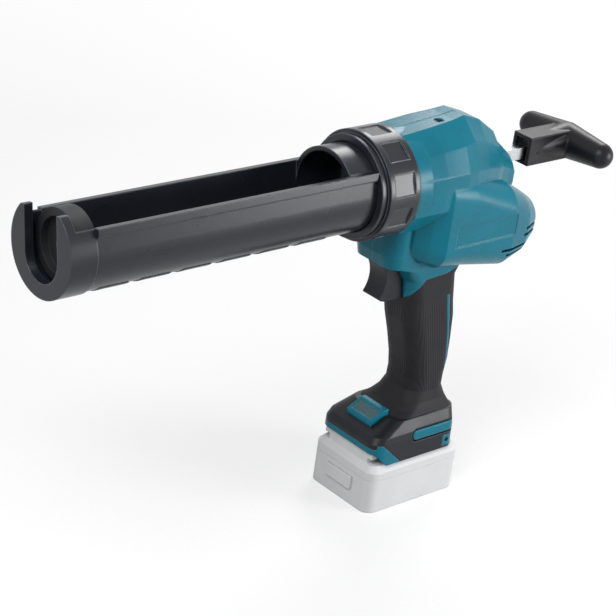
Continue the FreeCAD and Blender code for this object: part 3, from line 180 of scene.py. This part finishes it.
def ribbedRubber(look):
    material, tree, shader = newMaterial(look["name"])
    place = addNode(tree, "ShaderNodeTexCoord")
    # the ribs run up the grip on its sides and its front, and lean with it
    across = addNode(tree, "ShaderNodeVectorMath", {"operation": "DOT_PRODUCT", 1: look["ribAcross"]},
                     {0: place.outputs["Object"]})
    around = addNode(tree, "ShaderNodeCombineXYZ", links={"X": across.outputs["Value"]})
    # this texture repeats every pi / 10 divided by its scale
    ribs = addNode(tree, "ShaderNodeTexWave",
                   {"wave_type": "BANDS", "bands_direction": "X", "wave_profile": "SIN",
                    "Scale": math.pi / 10 / (look["ribMm"] * mm), "Distortion": 0.0},
                   {"Vector": around.outputs["Vector"]})
    height = addNode(tree, "ShaderNodeSeparateXYZ", links={"Vector": place.outputs["Object"]})
    low = addNode(tree, "ShaderNodeMapRange", {"From Min": look["ribLow"][0], "From Max": look["ribLow"][1]},
                  {"Value": height.outputs["Z"]})
    high = addNode(tree, "ShaderNodeMapRange",
                   {"From Min": look["ribHigh"][0], "From Max": look["ribHigh"][1]},
                   {"Value": height.outputs["Z"]})
    band = addNode(tree, "ShaderNodeMath", {"operation": "MULTIPLY"},
                   {0: low.outputs["Result"], 1: high.outputs["Result"]})
    relief = addNode(tree, "ShaderNodeMath", {"operation": "MULTIPLY"},
                     {0: ribs.outputs["Fac"], 1: band.outputs["Value"]})
    grain = addNode(tree, "ShaderNodeTexNoise",
                    {"Scale": 1 / (look["grainMm"] * mm), "Detail": look["detail"]},
                    {"Vector": place.outputs["Object"]})
    cloud = addNode(tree, "ShaderNodeTexNoise",
                    {"Scale": 1 / (look["cloudMm"] * mm), "Detail": look["detail"]},
                    {"Vector": place.outputs["Object"]})
    dust = addNode(tree, "ShaderNodeMapRange",
                   {"From Min": look["dustSpan"][0], "From Max": look["dustSpan"][1],
                    "To Min": 0.0, "To Max": look["dustMost"]},
                   {"Value": cloud.outputs["Fac"]})
    colour = addNode(tree, "ShaderNodeMixRGB",
                     {"Color1": linear(look["baseHex"]), "Color2": linear(look["dustHex"])},
                     {"Fac": dust.outputs["Result"]})
    gloss = addNode(tree, "ShaderNodeMapRange", {"To Min": look["rough"][0], "To Max": look["rough"][1]},
                    {"Value": grain.outputs["Fac"]})
    ribBump = addNode(tree, "ShaderNodeBump",
                      {"Strength": look["ribDepth"], "Distance": look["ribReliefMm"] * mm},
                      {"Height": relief.outputs["Value"]})
    bump = addNode(tree, "ShaderNodeBump",
                   {"Strength": look["grainDepth"], "Distance": look["grainReliefMm"] * mm},
                   {"Height": grain.outputs["Fac"], "Normal": ribBump.outputs["Normal"]})
    for socket, source in (("Base Color", colour.outputs["Color"]), ("Roughness", gloss.outputs["Result"]),
                           ("Normal", bump.outputs["Normal"])):
        tree.links.new(source, shader.inputs[socket])
    shader.inputs["IOR"].default_value = look["ior"]
    shader.inputs["Specular IOR Level"].default_value = look["shine"]
    return material


# Injection-moulded polycarbonate: smoky teal and glassy, with faint moulding swirls that bend the light.
lensLook = {"name": "lensPolycarbonateTinted", "baseHex": "#2F8492", "swirlMm": 3.0, "swirlDetail": 2.0,
            "swirlDepth": 0.1, "swirlReliefMm": 0.1, "rough": (0.05, 0.18), "clear": 0.7, "ior": 1.58}


def tintedLens(look):
    material, tree, shader = newMaterial(look["name"])
    place = addNode(tree, "ShaderNodeTexCoord")
    swirl = addNode(tree, "ShaderNodeTexNoise",
                    {"Scale": 1 / (look["swirlMm"] * mm), "Detail": look["swirlDetail"]},
                    {"Vector": place.outputs["Object"]})
    gloss = addNode(tree, "ShaderNodeMapRange", {"To Min": look["rough"][0], "To Max": look["rough"][1]},
                    {"Value": swirl.outputs["Fac"]})
    bump = addNode(tree, "ShaderNodeBump",
                   {"Strength": look["swirlDepth"], "Distance": look["swirlReliefMm"] * mm},
                   {"Height": swirl.outputs["Fac"]})
    tree.links.new(gloss.outputs["Result"], shader.inputs["Roughness"])
    tree.links.new(bump.outputs["Normal"], shader.inputs["Normal"])
    shader.inputs["Base Color"].default_value = linear(look["baseHex"])
    shader.inputs["Transmission Weight"].default_value = look["clear"]
    shader.inputs["IOR"].default_value = look["ior"]
    return material


finishes = {key: mouldedPlastic(look) for key, look in plasticLooks.items()}
finishes.update({key: workedMetal(look) for key, look in metalLooks.items()})
finishes["grip"] = ribbedRubber(gripLook)
finishes["lens"] = tintedLens(lensLook)
nodeFinishes = {
    "housing": ("housing_left", "housing_right", "foot_skirt", "hook_nuts", "hook_rails", "light_housing"),
    "holder": ("cartridge_holder", "nose_cap", "clamp_ring"),
    "foot": ("foot_housing", "trigger"),
    "pull": ("pull_handle",),
    "pack": ("battery_case", "battery_lid", "battery_button"),
    "inner": ("piston", "rod_guide_front", "rod_guide_rear", "switch_body", "terminal_block"),
    "potting": ("speed_controller",),
    "cell": ("battery_cells",),
    "rod": ("rack_rod",),
    "gear": ("rack_pinion", "pinion_shaft", "piston_screw"),
    "pin": ("handle_pin", "housing_screws"),
    "bush": ("pinion_bushes",),
    "cast": ("gear_head", "holder_spigot"),
    "can": ("motor", "gearbox"),
    "contact": ("terminal_blades", "battery_contacts"),
    "grip": ("grip_overmould",),
    "lens": ("led_lens",),
}
for finish, names in nodeFinishes.items():
    for name in names:
        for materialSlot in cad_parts[name].material_slots:
            materialSlot.material = finishes[finish]
print("materials set on", sum(len(names) for names in nodeFinishes.values()), "nodes")


# rays by which the viewer sees a thing: straight on, in a reflection or through glass
def seenRays(tree):
    rays = addNode(tree, "ShaderNodeLightPath")
    mirrored = addNode(tree, "ShaderNodeMath", {"operation": "MAXIMUM"},
                       {0: rays.outputs["Is Glossy Ray"], 1: rays.outputs["Is Transmission Ray"]})
    return addNode(tree, "ShaderNodeMath", {"operation": "MAXIMUM"},
                   {0: rays.outputs["Is Camera Ray"], 1: mirrored.outputs["Value"]}).outputs["Value"]


# Matt paper floor: grey fibres scatter the light evenly, and a lift that only the viewer sees makes it white.
# The lift grows with the distance from the tool, so that the soft shadow stays close to it.
floorLook = {"half": 6.0, "drop": 0.2 * mm, "paleHex": "#B4B4B5", "greyHex": "#AEAEAF", "fibreMm": 3.0,
             "lift": (0.55, 1.0), "reach": (0.7, 2.2), "liftHex": "#FFFFFF", "rough": 0.9, "shine": 0.1}
floorMesh = bpy.data.meshes.new("studioFloor")
corners = [(x * floorLook["half"], y * floorLook["half"], -floorLook["drop"])
           for x, y in ((-1, -1), (1, -1), (1, 1), (-1, 1))]
floorMesh.from_pydata(corners, [], [(0, 1, 2, 3)])
floor = bpy.data.objects.new("studioFloor", floorMesh)
scene.collection.objects.link(floor)
floorMaterial, floorTree, floorShader = newMaterial("floorPaperMatt")
floorPlace = addNode(floorTree, "ShaderNodeTexCoord")
floorFibre = addNode(floorTree, "ShaderNodeTexNoise", {"Scale": 1 / (floorLook["fibreMm"] * mm)},
                     {"Vector": floorPlace.outputs["Object"]})
floorTone = addNode(floorTree, "ShaderNodeMixRGB",
                    {"Color1": linear(floorLook["paleHex"]), "Color2": linear(floorLook["greyHex"])},
                    {"Fac": floorFibre.outputs["Fac"]})
floorAway = addNode(floorTree, "ShaderNodeVectorMath", {"operation": "LENGTH"},
                    {0: floorPlace.outputs["Object"]})
floorRise = addNode(floorTree, "ShaderNodeMapRange",
                    {"From Min": floorLook["reach"][0], "From Max": floorLook["reach"][1],
                     "To Min": floorLook["lift"][0], "To Max": floorLook["lift"][1]},
                    {"Value": floorAway.outputs["Value"]})
floorLift = addNode(floorTree, "ShaderNodeMath", {"operation": "MULTIPLY"},
                    {0: seenRays(floorTree), 1: floorRise.outputs["Result"]})
floorTree.links.new(floorTone.outputs["Color"], floorShader.inputs["Base Color"])
floorTree.links.new(floorLift.outputs["Value"], floorShader.inputs["Emission Strength"])
floorShader.inputs["Emission Color"].default_value = linear(floorLook["liftHex"])
floorShader.inputs["Roughness"].default_value = floorLook["rough"]
floorShader.inputs["Specular IOR Level"].default_value = floorLook["shine"]
floorMesh.materials.append(floorMaterial)

# World: white where it is seen, and a plain grey light elsewhere
worldLook = {"light": 0.3, "seen": 1.0, "toneHex": "#FFFFFF"}
world = bpy.data.worlds.new("studioWorld")
scene.world = world
world.use_nodes = True
worldTree = world.node_tree
worldTree.nodes.clear()
worldLight, worldSeen = [addNode(worldTree, "ShaderNodeBackground",
                                 {"Strength": worldLook[level], "Color": linear(worldLook["toneHex"])})
                         for level in ("light", "seen")]
worldMix = addNode(worldTree, "ShaderNodeMixShader",
                   links={0: seenRays(worldTree), 1: worldLight.outputs["Background"],
                          2: worldSeen.outputs["Background"]})
addNode(worldTree, "ShaderNodeOutputWorld", links={"Surface": worldMix.outputs["Shader"]})

# Camera at the photograph's own place; its angles are in radians
cameraLook = {"place": (0.9154, 0.8503, 0.7013), "azimuth": 0.7683, "elevation": 0.4340, "roll": 0.1395,
              "focalPx": 2047.0, "framePx": 616, "sensorMm": 36}
azimuth, elevation, roll = cameraLook["azimuth"], cameraLook["elevation"], cameraLook["roll"]
ahead = -Vector((math.sin(azimuth) * math.cos(elevation), math.cos(azimuth) * math.cos(elevation),
                 math.sin(elevation)))
level = ahead.cross(Vector((0, 0, 1))).normalized()
upright = level.cross(ahead)
right = math.cos(roll) * level + math.sin(roll) * upright
top = -math.sin(roll) * level + math.cos(roll) * upright
camera = bpy.data.objects.new("photoCamera", bpy.data.cameras.new("photoCamera"))
camera.data.sensor_width = cameraLook["sensorMm"]
camera.data.lens = cameraLook["sensorMm"] * cameraLook["focalPx"] / cameraLook["framePx"]
camera.matrix_world = Matrix((right, top, -ahead)).transposed().to_4x4()
camera.location = cameraLook["place"]
scene.collection.objects.link(camera)
scene.camera = camera

# Soft boxes: a key high in front of the nose, a low one at the left rear that draws a streak
# along the holder, and one from behind on the right
lampAim = Vector((0.08, 0, 0.19))
lampLooks = {
    "keyBox": {"place": (0.95, 0.35, 1.15), "size": 0.7, "watts": 12},
    "fillBox": {"place": (-0.68, 0.8, 0.32), "size": 0.45, "watts": 8},
    "rearBox": {"place": (-0.82, -0.58, 0.98), "size": 0.45, "watts": 6},
}
for name, look in lampLooks.items():
    lamp = bpy.data.objects.new(name, bpy.data.lights.new(name, "AREA"))
    lamp.data.shape = "SQUARE"
    lamp.data.size = look["size"]
    lamp.data.energy = look["watts"]
    lamp.location = look["place"]
    lamp.rotation_euler = (lampAim - lamp.location).to_track_quat("-Z", "Y").to_euler()
    scene.collection.objects.link(lamp)
print("camera and lamps set")
